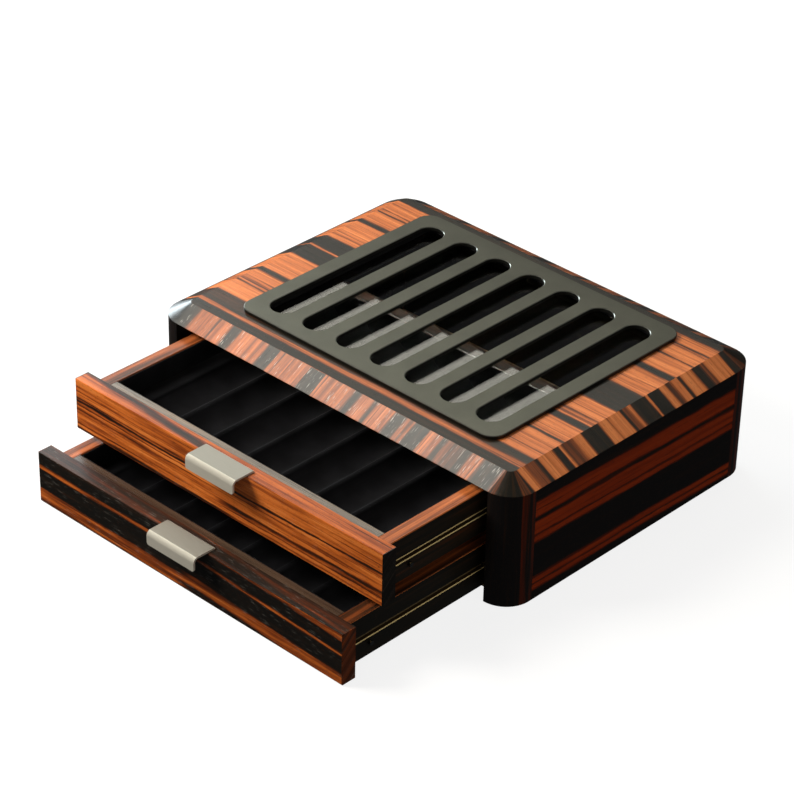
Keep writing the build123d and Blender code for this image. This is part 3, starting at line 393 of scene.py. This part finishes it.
def lid_darkness(s, front_back, corner, turn):
    """How dark the lid's veneer is, on its top, its bevels and its corners."""
    from_back = s.minus(TOP_Y + 0.4, s.y)
    from_back = warped(s, s.x, from_back, reach=1.2, length=130, width=30, seed=4.0)
    left_top = s.bands(from_back, 0, TOP_SPAN, TOP_LEFT_BANDS, 0.12, edge=1.2)
    right_top = s.bands(from_back, 0, TOP_SPAN, TOP_RIGHT_BANDS, 0.10, edge=1.2)
    top = s.blend(s.step(s.x, -30, 30), left_top, right_top)
    # the strip before the plate has no light stripes
    strip = s.step(s.y, -TOP_Y + 17, -TOP_Y + 13)
    top = s.math("MAXIMUM", top, s.times(strip, 0.30))

    from_front = s.plus(s.y, RIGHT_BEVEL_SPAN / 2)
    from_front = warped(s, s.x, from_front, reach=1.0, length=40, width=22, seed=9.0)
    right_bevel = s.bands(from_front, 0, RIGHT_BEVEL_SPAN, RIGHT_BEVEL_BANDS, 0.02, edge=1.2)
    # the left bevel carries the top's bands on, down to a black line along its foot
    foot = s.step(s.x, -HALF_WIDTH + 3, -HALF_WIDTH + 1.5)
    left_bevel = s.blend(foot, left_top, 0.95)
    from_left = s.plus(s.x, FRONT_BEVEL_SPAN / 2)
    from_left = warped(s, s.y, from_left, reach=0.8, length=30, width=22, seed=14.0)
    front_bevel = s.bands(from_left, 0, FRONT_BEVEL_SPAN, FRONT_BEVEL_BANDS, 0.28, edge=1.2)
    fan = s.bands(s.times(turn, 180 / math.pi), 0, 90, FAN_BANDS, 0.50, edge=3)
    fan = s.blend(s.step(s.x, 0, 1), 0.90, fan)

    dark = s.blend(s.above(s.x, TOP_X), top, right_bevel)
    dark = s.blend(s.below(s.x, -TOP_X), dark, left_bevel)
    dark = s.blend(front_back, dark, front_bevel)
    dark = s.blend(corner, dark, fan)
    # the part of the lid that the plate hides, round the window, is near black
    past_x = s.beyond(s.x, WINDOW_X)
    past_y = s.beyond(s.minus(s.y, WINDOW_MIDDLE), WINDOW_Y)
    return s.blend(s.math("MAXIMUM", past_x, past_y), 0.98, dark)


def lid_material():
    """The lid: stripes along X, cross-banded front and back bevels, and fans round the corners."""
    s = Shading("lid_veneer")
    out_x = s.math("MAXIMUM", s.minus(s.math("ABSOLUTE", s.x), CORNER_X), 0.0)
    out_y = s.math("MAXIMUM", s.minus(s.math("ABSOLUTE", s.y), CORNER_Y), 0.0)
    reach = s.math("SQRT", s.plus(s.math("POWER", out_x, 2.0), s.math("POWER", out_y, 2.0)))
    turn = s.math("ARCTAN2", out_x, out_y)
    front_back = s.beyond(s.y, TOP_Y)
    in_corner = s.above(s.math("MINIMUM", out_x, out_y), 0.0)
    corner = s.times(in_corner, s.above(reach, CORNER_RADIUS - BEVEL_WIDTH))
    not_corner = s.minus(1.0, corner)

    along = s.blend(front_back, s.x, s.times(s.y, 1.2))
    along = s.blend(corner, along, reach)
    across = s.blend(front_back, s.y, s.x)
    across = s.blend(corner, across, s.times(turn, CORNER_RADIUS))
    dark = lid_darkness(s, front_back, corner, turn)

    # the lacquer shines most on the front and back bevels and the left corners
    cross_banded = s.times(front_back, not_corner)
    left_corner = s.times(corner, s.below(s.x, 0.0))
    shine = s.blend(s.times(s.below(s.x, -TOP_X), not_corner), 0.4, 0.05)
    shine = s.blend(cross_banded, s.blend(left_corner, shine, 1.0), 1.0)
    ebony(
        s, along, across, dark, seed=21.0, sparkle=s.times(cross_banded, 0.85), shine=shine,
    )
    return s.material


def side_material():
    """The side and back walls: long stripes with a slight slope, and plain dark wood inside."""
    s = Shading("side_veneer")
    along = s.plus(s.y, s.x)
    slope = s.times(s.plus(s.y, SIDE_LEVEL_Y), SIDE_SLOPE)
    from_top = s.minus(s.minus(SIDE_TOP, s.z), slope)
    across = warped(s, along, from_top, reach=1.6, length=120, width=24, seed=34.0)
    dark = s.bands(across, 0, SIDE_SPAN, SIDE_BANDS, 0.12, edge=1.2)
    past_x = s.beyond(s.x, HALF_WIDTH - SKIN)
    past_y = s.beyond(s.y, HALF_DEPTH - SKIN)
    dark = s.blend(s.math("MAXIMUM", past_x, past_y), 0.92, dark)
    ebony(s, along, across, dark, seed=33.0, colours=SHADED_SIDE_COLOURS, shine=0.14, roughness=0.34)
    return s.material


def post_material():
    """The corner posts: near black, with the grain upright and a reddish strip at the seam."""
    s = Shading("post_ebony")
    around = s.plus(s.x, s.y)
    from_seam = s.minus(s.math("ABSOLUTE", s.y), HALF_DEPTH - POST_WIDTH)
    ragged = s.streaks(s.z, around, length=60, width=2.0, seed=43.0, detail=3)
    edge = s.plus(from_seam, s.spread(ragged, -1.2, 1.2))
    strip = s.bands(edge, -1, 24, POST_BANDS, 0.95, edge=1.0)
    ebony(s, s.z, around, strip, seed=41.0, colours=SHADED_SIDE_COLOURS, lines=0.1, shine=0.25)
    return s.material


def front_edge_darkness(s, drawer, from_face, seed):
    """How dark the top edge of a drawer's front is."""
    lie = s.plus(from_face, s.times(s.plus(s.x, 60.0), 0.070))
    lie = warped(s, s.x, lie, reach=0.8, length=60, width=10, seed=seed)
    if drawer == "lower":
        return s.bands(lie, -20, 40, LOWER_EDGE_BANDS, 0.52, edge=1.4)
    smoke = s.bands(lie, -20, 40, UPPER_EDGE_BANDS, 0.20, edge=1.4)
    return s.blend(s.step(s.x, -22, 10), smoke, 0.24)


def front_material(drawer):
    """A drawer's front: stripes that differ left and right, its own top edge and end faces."""
    look = FRONTS[drawer]
    seed = look["seed"]
    low, high = box_mm(f"{drawer}_front")
    s = Shading(f"{drawer}_front_veneer")
    from_top = s.minus(high[2], s.z)
    from_face = s.minus(s.y, low[1])

    fall = s.times(s.math("MAXIMUM", s.minus(s.x, 8.0), 0.0), look["slope"])
    line = s.minus(from_top, fall)
    line = warped(s, s.x, line, reach=1.0, length=90, width=20, seed=seed + 1)
    left, right = (
        s.bands(line, -12, 40, bands, look["ground"], edge=0.7) for bands in look["halves"]
    )
    face = s.blend(s.step(s.x, -12, 12), left, right)
    cloud = s.streaks(s.x, from_top, length=60, width=4, seed=seed + 5, detail=3)
    face = s.plus(face, s.spread(cloud, -0.14, 0.20))

    top_edge = front_edge_darkness(s, drawer, from_face, seed + 9)
    dark = s.blend(s.above(s.z, high[2] - 0.4), face, top_edge)
    dark = s.blend(s.beyond(s.x, high[0] - SKIN), dark, look["ends"])
    ebony(
        s, s.x, s.plus(from_top, from_face), dark, seed=seed, colours=FRONT_COLOURS,
        lines=0.22, pores=0.7, sparkle=look["sparkle"], roughness=0.42, shine=0.25,
    )
    return s.material


BOARD_SEED = 81.0
# How dark each board of a drawer's box is: on the whole, and on the outer face where it has one.
BOARDS = {
    "upper_side_left": (0.42, 0.80),
    "upper_side_right": (0.20, 0.80),
    "upper_inner_front": (0.34, None),
    "upper_back": (0.62, None),
    "lower_side_left": (0.30, 0.90),
    # painted shade: the lower right side is darker, as it lies in the upper drawer's shadow
    "lower_side_right": (0.46, 0.94),
    "lower_inner_front": (0.70, None),
    "lower_back": (0.62, None),
}


def box_board_material(node):
    """A board of a drawer's box. A side board is darker outside, with a painted highlight along its
    outer arris.
    """
    ground, outside = BOARDS[node]
    s = Shading(f"{node}_wood")
    along, aside = (s.x, s.y) if outside is None else (s.y, s.x)
    across = s.plus(aside, s.z)
    drift = s.streaks(along, across, length=150, width=9, seed=BOARD_SEED + 2, detail=2)
    dark = s.spread(drift, -0.1, 0.15)
    if outside is None:
        dark = s.plus(dark, ground)
    else:
        wall = s.beyond(s.x, BOX_FACE_X)
        # painted highlight: a light line along the top of the outer face
        arris_highlight = s.times(wall, s.above(s.z, box_mm(node)[1][2] - SKIN))
        dark = s.blend(arris_highlight, s.plus(dark, s.blend(wall, ground, outside)), 0.1)
    finish = {"roughness": 0.30, "shine": 0.25}
    if node.endswith("inner_front"):
        finish = {"roughness": 0.28, "shine": 1.0, "colours": SMOKE_COLOURS}
    elif node.endswith("back"):
        finish = {"roughness": 0.30, "shine": 0.3}
    ebony(s, along, across, dark, seed=BOARD_SEED, **finish)
    return s.material


# ---- metals, velvet, glass --------------------------------------------------------------
# How bright the upper edge of each drawer's brass channels is, against the lower edge: painted shade,
# strongest on the lower drawer.
RAIL_UPPER_EDGE_SHADE = {"upper": 0.75, "lower": 0.08}


def rail_material(drawer):
    """A brass channel: bright along its two edges, with painted shade making it dark within."""
    low, high = box_mm(f"{drawer}_channel_right")
    s = Shading(f"{drawer}_rail_brass")
    rub = s.streaks(s.y, s.z, length=20, width=0.8, seed=5.0, detail=3)
    bright = s.tint(s.spread(rub), (0.90, 0.66, 0.27), (1.00, 0.80, 0.38))
    upper_half = s.above(s.z, (low[2] + high[2]) / 2)
    edge = s.beyond(s.x, high[0] - 0.15)
    # painted shade on the upper edge
    edge = s.times(edge, s.blend(upper_half, 1.0, RAIL_UPPER_EDGE_SHADE[drawer]))
    s.set(
        # painted shade: near black within, brass only along the two edges
        Base_Color=s.tint(edge, (0.05, 0.03, 0.012), bright),
        Metallic=0.05,
        Roughness=s.spread(rub, 0.28, 0.40),
    )
    return s.material


def scaled(colour, factor):
    """A colour, darker or lighter by a factor."""
    return tuple(c * factor for c in colour)


def metal_material(name, colour, roughness, grain=(1, 1, 1), metallic=1.0, shade_above=None):
    """A satin metal, mottled or brushed, with painted shade above a height where one is given."""
    s = Shading(name)
    spot = s.point(*(s.times(v, g) for v, g in zip((s.x, s.y, s.z), grain)))
    fine = s.noise(spot, detail=3, scale=2.0)
    shown = s.tint(s.mottle(fine), scaled(colour, 0.88), colour)
    if shade_above is not None:
        # painted shade: darker above the height
        shown = s.tint(s.above(s.z, shade_above), shown, scaled(colour, 0.47))
    s.set(
        Base_Color=shown,
        Metallic=metallic,
        Roughness=s.spread(fine, roughness - 0.04, roughness + 0.05),
    )
    s.bump(fine, 0.12, 0.05)
    return s.material


PLATE_CHAMFER = 0.42


def plate_material():
    """The lid's plate: a speckled satin finish, with a painted highlight on its chamfers and painted
    shade on its sides.
    """
    top = box_mm("slot_plate")[1][2]
    s = Shading("gunmetal_plate")
    speckle = s.cloud(2.2)
    flat = s.tint(s.mottle(speckle), (0.086, 0.088, 0.072), (0.124, 0.126, 0.103))
    # painted highlight: lighter chamfers; painted shade: dark sides below them
    chamfer_highlight = s.below(s.z, top - 0.03)
    side = s.below(s.z, top - PLATE_CHAMFER)
    upper = s.tint(chamfer_highlight, flat, (0.230, 0.230, 0.205))
    s.set(
        Base_Color=s.tint(side, upper, (0.045, 0.045, 0.038)),
        Metallic=0.9,
        Roughness=s.spread(speckle, 0.29, 0.37),
    )
    s.bump(speckle, 0.3, 0.05)
    return s.material


def velvet_material(name, colour, sheen):
    """Short pile: almost no gloss, and a sheen at a low angle where one is given."""
    s = Shading(name)
    s.set(
        Base_Color=s.tint(s.spread(s.cloud(0.06)), colour, scaled(colour, 1.8)),
        Roughness=0.95,
        Specular_IOR_Level=0.1,
        Sheen_Weight=sheen,
        Sheen_Roughness=0.35,
        Sheen_Tint=(0.6, 0.6, 0.62),
    )
    s.bump(s.cloud(3.0, detail=3), 0.4, 0.15)
    return s.material


def glass_material():
    s = Shading("clear_glass")
    s.set(Base_Color=(0.93, 0.96, 0.94), Roughness=0.0, IOR=1.5, Transmission_Weight=1.0)
    return s.material


def plain_wood_material(name, colour, seed):
    """Unlacquered plywood or dowel wood."""
    s = Shading(name)
    grain = s.streaks(s.y, s.plus(s.x, s.z), length=60, width=1.5, seed=seed, detail=4)
    s.set(Base_Color=s.tint(s.spread(grain), scaled(colour, 0.6), colour), Roughness=0.7)
    s.bump(grain, 0.2, 0.1)
    return s.material


# ---- the materials put on the CAD nodes --------------------------------------------------
def give(material, *names):
    """Puts a material on CAD nodes."""
    for name in names:
        NODES[name].data.materials.clear()
        NODES[name].data.materials.append(material)


def dress_case():
    give(lid_material(), "lid")
    give(side_material(), "side_panel_left", "side_panel_right", "back_panel")
    posts = [f"post_{end}_{side}" for end in ("front", "rear") for side in SIDES]
    give(post_material(), *posts)
    give(plate_material(), "slot_plate")
    felt = velvet_material("black_felt", (0.006, 0.006, 0.007), 0.05)
    give(felt, "base_felt", "rear_buffers")
    give(plain_wood_material("plywood", (0.42, 0.28, 0.16), 71.0), "bottom_board")
    give(plain_wood_material("dowel_wood", (0.60, 0.42, 0.24), 77.0), "frame_dowels", "lid_dowels")
    steel = metal_material("small_steel", (0.50, 0.49, 0.47), 0.30)
    give(steel, "bottom_screws", "plate_pins", "runner_screws", "stop_pins")
    runner_steel = metal_material("runner_steel", (0.20, 0.20, 0.20), 0.40, grain=(1, 0.05, 1))
    give(runner_steel, *[f"runner_{drawer}_{side}" for drawer in DRAWERS for side in SIDES])


def dress_drawers():
    """The drawers' floors, dowels, screws and channel pins keep the CAD's plain materials."""
    for node in BOARDS:
        give(box_board_material(node), node)
    stud_steel = metal_material("stud_steel", (0.16, 0.16, 0.16), 0.25)
    for drawer in DRAWERS:
        # each pull's top face is darkened as painted shade
        pull = metal_material(
            f"{drawer}_pull_metal", (0.67, 0.64, 0.55), 0.64, grain=(0.08, 1, 1), metallic=0.5,
            shade_above=box_mm(f"{drawer}_pull")[1][2] - 0.1,
        )
        give(pull, f"{drawer}_pull")
        give(front_material(drawer), f"{drawer}_front")
        give(rail_material(drawer), f"{drawer}_channel_left", f"{drawer}_channel_right")
        give(stud_steel, f"{drawer}_stop_studs")


# ---- meshes ------------------------------------------------------------------------------
CORNER_STEPS = 5


def mesh_piece(name, points, faces, body, material):
    """A smooth-shaded mesh from points in millimetres, riding on a body."""
    mesh = bpy.data.meshes.new(name)
    mesh.from_pydata([tuple(v * MM for v in p) for p in points], [], faces)
    mesh.validate()
    mesh.materials.append(material)
    mesh.shade_smooth()
    piece = bpy.data.objects.new(name, mesh)
    bpy.context.scene.collection.objects.link(piece)
    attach(piece, body)
    return piece


def bridge(loops, closed=False):
    """Points and faces of a skin over closed loops of equal length.

    A closed skin joins its last loop to its first one. Another skin is capped at both ends.
    """
    count = len(loops[0])
    points = [p for loop in loops for p in loop]
    rows = len(loops)
    faces = []
    for row in range(rows if closed else rows - 1):
        here = row * count
        there = (row + 1) % rows * count
        for i in range(count):
            j = (i + 1) % count
            faces.append((here + i, here + j, there + j, there + i))
    if not closed:
        faces.append(tuple(reversed(range(count))))
        faces.append(tuple(range((rows - 1) * count, rows * count)))
    return points, faces


def rounded_ring(half_x, half_y, middle_y, z, radius):
    """A level ring: a rectangle with rounded corners."""
    ring = []
    for corner, (sx, sy) in enumerate(((1, 1), (-1, 1), (-1, -1), (1, -1))):
        for step in range(CORNER_STEPS + 1):
            turn = math.pi / 2 * (corner + step / CORNER_STEPS)
            ring.append((
                sx * (half_x - radius) + radius * math.cos(turn),
                middle_y + sy * (half_y - radius) + radius * math.sin(turn),
                z,
            ))
    return ring


# ---- the velvet insert of a drawer ------------------------------------------------------
PEN_COUNT = 7
PEN_PITCH = 29.0
RIDGE_HALF = 2.0
RIDGE_CROWN = 1.6
RIDGE_STEPS = 4
TROUGH_STEPS = 14
BED_THICKNESS = 3.2
BED_CHAMFER = 0.6
LINING_THICKNESS = 1.0
LINING_EASE = 0.3
LINING_PLAY = 0.02


def ridge_point(middle, shoulder, turn):
    """A point on the round top of a ridge, turned from its highest place."""
    return middle + RIDGE_HALF * math.sin(turn), shoulder + RIDGE_CROWN * math.cos(turn)


def trough_outline(top, bottom, half_width):
    """The section across the troughs: coves between round-topped ridges, closed below."""
    outline = [(-half_width, bottom), (-half_width, top - BED_CHAMFER)]
    outline.append((-half_width + BED_CHAMFER, top))
    shoulder = top - RIDGE_CROWN
    half_cove = PEN_PITCH / 2 - RIDGE_HALF
    sink = shoulder - bottom - BED_THICKNESS
    radius = (half_cove**2 + sink**2) / (2 * sink)
    reach = math.asin(half_cove / radius)
    for pen in range(PEN_COUNT):
        middle = (pen - (PEN_COUNT - 1) / 2) * PEN_PITCH
        left_ridge = middle - PEN_PITCH / 2
        if pen == 0:
            outline.append((left_ridge - 1.2, top))
        # the first ridge is half a ridge, from its highest place to the right
        for step in range(RIDGE_STEPS):
            turn = math.pi / 2 * (step / 4 if pen == 0 else step / 2 - 1)
            outline.append(ridge_point(left_ridge, shoulder, turn))
        for step in range(TROUGH_STEPS + 1):
            turn = -reach + 2 * reach * step / TROUGH_STEPS
            height = shoulder - sink + radius * (1 - math.cos(turn))
            outline.append((middle + radius * math.sin(turn), height))
    last_ridge = PEN_COUNT * PEN_PITCH / 2
    for step in range(1, RIDGE_STEPS):
        turn = -math.pi / 2 * (1 - step / 4)
        outline.append(ridge_point(last_ridge, shoulder, turn))
    outline += [(half_width - BED_CHAMFER, top), (half_width, top - BED_CHAMFER)]
    outline.append((half_width, bottom))
    return outline


def velvet_trough(drawer, material):
    """The coved bed of a drawer, seven troughs wide."""
    tray_low, tray_high = box_mm(f"{drawer}_tray")
    top = box_mm(f"{drawer}_ridges")[1][2]
    outline = trough_outline(top, tray_low[2], tray_high[0])
    loops = [[(x, y, z) for x, z in outline] for y in (tray_low[1], tray_high[1])]
    points, faces = bridge(loops)
    name = f"{drawer}_velvet_bed"
    piece = mesh_piece(name, points, faces, f"{drawer}_drawer", material)
    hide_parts(f"{drawer}_tray", f"{drawer}_ridges")


def velvet_lining(drawer, material):
    """The lining of the drawer's walls, with a rounded top edge."""
    low, high = box_mm(f"{drawer}_lining")
    half_x = (high[0] - low[0]) / 2 - LINING_PLAY
    half_y = (high[1] - low[1]) / 2 - LINING_PLAY
    middle_y = (high[1] + low[1]) / 2
    shoulder = high[2] - LINING_EASE
    section = [
        (0.0, low[2]), (0.0, shoulder),
        (LINING_EASE, high[2]), (LINING_THICKNESS - LINING_EASE, high[2]),
        (LINING_THICKNESS, shoulder), (LINING_THICKNESS, low[2]),
    ]
    loops = [
        rounded_ring(half_x - inward, half_y - inward, middle_y, z, 0.2 + inward)
        for inward, z in section
    ]
    points, faces = bridge(loops, closed=True)
    name = f"{drawer}_velvet_lining"
    piece = mesh_piece(name, points, faces, f"{drawer}_drawer", material)
    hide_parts(f"{drawer}_lining")


# ---- the lid's pane and its bead ---------------------------------------------------------
GLASS_TOP = 82.7
PANE_EASE = 0.3
PANE_RADIUS = 2.7
BEAD_WIDTH = 4.9
BEAD_INNER_RADIUS = 3.0


def rebate_ring(inward, z, radius):
    """A level ring inside the lid's rebate."""
    low, high = box_mm("window_glass")
    middle_y = (low[1] + high[1]) / 2
    return rounded_ring(high[0] - inward, (high[1] - low[1]) / 2 - inward, middle_y, z, radius)


def lid_pane(material):
    """A pane with eased edges, low enough for the plate to shade most of each slot."""
    bottom = box_mm("window_glass")[0][2]
    loops = [
        rebate_ring(PANE_EASE, bottom, PANE_RADIUS - PANE_EASE),
        rebate_ring(0, bottom + PANE_EASE, PANE_RADIUS),
        rebate_ring(0, GLASS_TOP - PANE_EASE, PANE_RADIUS),
        rebate_ring(PANE_EASE, GLASS_TOP, PANE_RADIUS - PANE_EASE),
    ]
    points, faces = bridge(loops)
    piece = mesh_piece("lid_pane", points, faces, "case", material)
    piece.data.shade_flat()
    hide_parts("window_glass")


def pane_bead(material):
    """The black bead between the pane and the plate."""
    top = box_mm("glass_bead")[1][2]
    loops = [
        rebate_ring(0, GLASS_TOP, PANE_RADIUS),
        rebate_ring(0, top, PANE_RADIUS),
        rebate_ring(BEAD_WIDTH, top, BEAD_INNER_RADIUS),
        rebate_ring(BEAD_WIDTH, GLASS_TOP, BEAD_INNER_RADIUS),
    ]
    points, faces = bridge(loops, closed=True)
    piece = mesh_piece("pane_bead", points, faces, "case", material)
    piece.data.shade_flat()
    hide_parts("glass_bead")


# ---- floor, lights and camera -----------------------------------------------------------
CAMERA_PLACE = (1.04921, -1.17152, 1.02011)
CAMERA_ANGLES = (57.8488, -1.1563, 43.8367)
CAMERA_LENS = 134.071
FLOOR_HALF = 6.0
# name, three corners in metres, radiance, colour, and whether glossy surfaces reflect it
LIGHTS = [
    # the key, from the front left: its shadow falls right of a pull
    (
        "key", [(-0.81, -0.50, 0.50), (-0.42, -0.82, 0.50), (-0.70, -0.37, 0.87)],
        26.0, (1.0, 0.95, 0.87), False,
    ),
    # overhead on the left, for the sheen of the front bevel
    (
        "softbox_top", [(-1.30, -0.55, 1.45), (-1.30, 0.15, 1.45), (-0.80, -0.55, 1.85)],
        5.0, (1.0, 0.96, 0.86), True,
    ),
    # its lower edge shows as the end of the bright strip on the glass in each slot
    (
        "softbox_back", [(-2.4, 1.2, 1.056), (0.3, 1.2, 1.056), (-2.4, 0.7, 1.9)],
        1.75, (1.0, 0.96, 0.84), True,
    ),
    (
        "window_left", [(-1.9, 0.1, 0.25), (-1.9, 1.2, 0.25), (-1.9, 0.1, 1.1)],
        12.0, (0.84, 0.95, 1.0), True,
    ),
    (
        "fill_right", [(1.2, -0.9, 0.15), (1.2, 0.5, 0.15), (1.2, -0.9, 0.75)],
        1.6, (1.0, 0.96, 0.90), False,
    ),
    (
        "fill_front", [(0.0, -1.6, 0.10), (1.0, -1.3, 0.10), (0.0, -1.6, 0.70)],
        1.1, (1.0, 0.96, 0.90), False,
    ),
]


def make_camera():
    data = bpy.data.cameras.new("camera")
    data.lens = CAMERA_LENS
    data.sensor_width = 36.0
    data.clip_end = 50.0
    camera = bpy.data.objects.new("camera", data)
    camera.location = CAMERA_PLACE
    camera.rotation_euler = [math.radians(a) for a in CAMERA_ANGLES]
    bpy.context.scene.collection.objects.link(camera)
    bpy.context.scene.camera = camera


def soft_light(name, corners, radiance, colour, glossy):
    """A rectangular softbox from three corners: the first, then one along each of its sides.

    It faces the object, which stands at the origin.
    """
    first, wide, high = (Vector(c) for c in corners)
    middle = (wide + high) / 2
    x = (wide - first).normalized()
    y = (high - first).normalized()
    if x.cross(y).dot(middle) < 0:
        x = -x
    data = bpy.data.lights.new(name, "AREA")
    data.shape = "RECTANGLE"
    data.size = (wide - first).length
    data.size_y = (high - first).length
    data.energy = math.pi * radiance * data.size * data.size_y
    data.color = colour
    light = bpy.data.objects.new(name, data)
    turn = Matrix((x, y, x.cross(y))).transposed().to_4x4()
    light.matrix_world = Matrix.Translation(middle) @ turn
    light.visible_glossy = glossy
    bpy.context.scene.collection.objects.link(light)


def make_floor():
    s = Shading("pale_floor")
    s.set(
        Base_Color=s.tint(s.spread(s.cloud(0.004)), (0.20, 0.20, 0.20), (0.21, 0.21, 0.21)),
        Roughness=0.9,
        Specular_IOR_Level=0.0,
        Emission_Color=(1.0, 1.0, 1.0),
        Emission_Strength=0.84,
    )
    corners = [(sx * FLOOR_HALF, sy * FLOOR_HALF, 0) for sx, sy in ((-1, -1), (1, -1), (1, 1), (-1, 1))]
    mesh = bpy.data.meshes.new("floor")
    mesh.from_pydata(corners, [], [(0, 1, 2, 3)])
    mesh.materials.append(s.material)
    floor = bpy.data.objects.new("floor", mesh)
    bpy.context.scene.collection.objects.link(floor)
    floor.visible_diffuse = False
    floor.visible_glossy = False


def make_world():
    world = bpy.data.worlds.new("studio")
    world.use_nodes = True
    background = world.node_tree.nodes["Background"]
    background.inputs["Color"].default_value = (0.95, 0.97, 1.0, 1)
    background.inputs["Strength"].default_value = 0.04
    bpy.context.scene.world = world
    bpy.context.scene.view_settings.view_transform = "Standard"


make_camera()
dress_case()
dress_drawers()
lid_pane(glass_material())
pane_bead(velvet_material("bead_rubber", (0.008, 0.008, 0.008), 0.0))
velvet = velvet_material("black_velvet", (0.0035, 0.0035, 0.004), 0.26)
for drawer in DRAWERS:
    velvet_trough(drawer, velvet)
    velvet_lining(drawer, velvet)
for light in LIGHTS:
    soft_light(*light)
make_floor()
make_world()
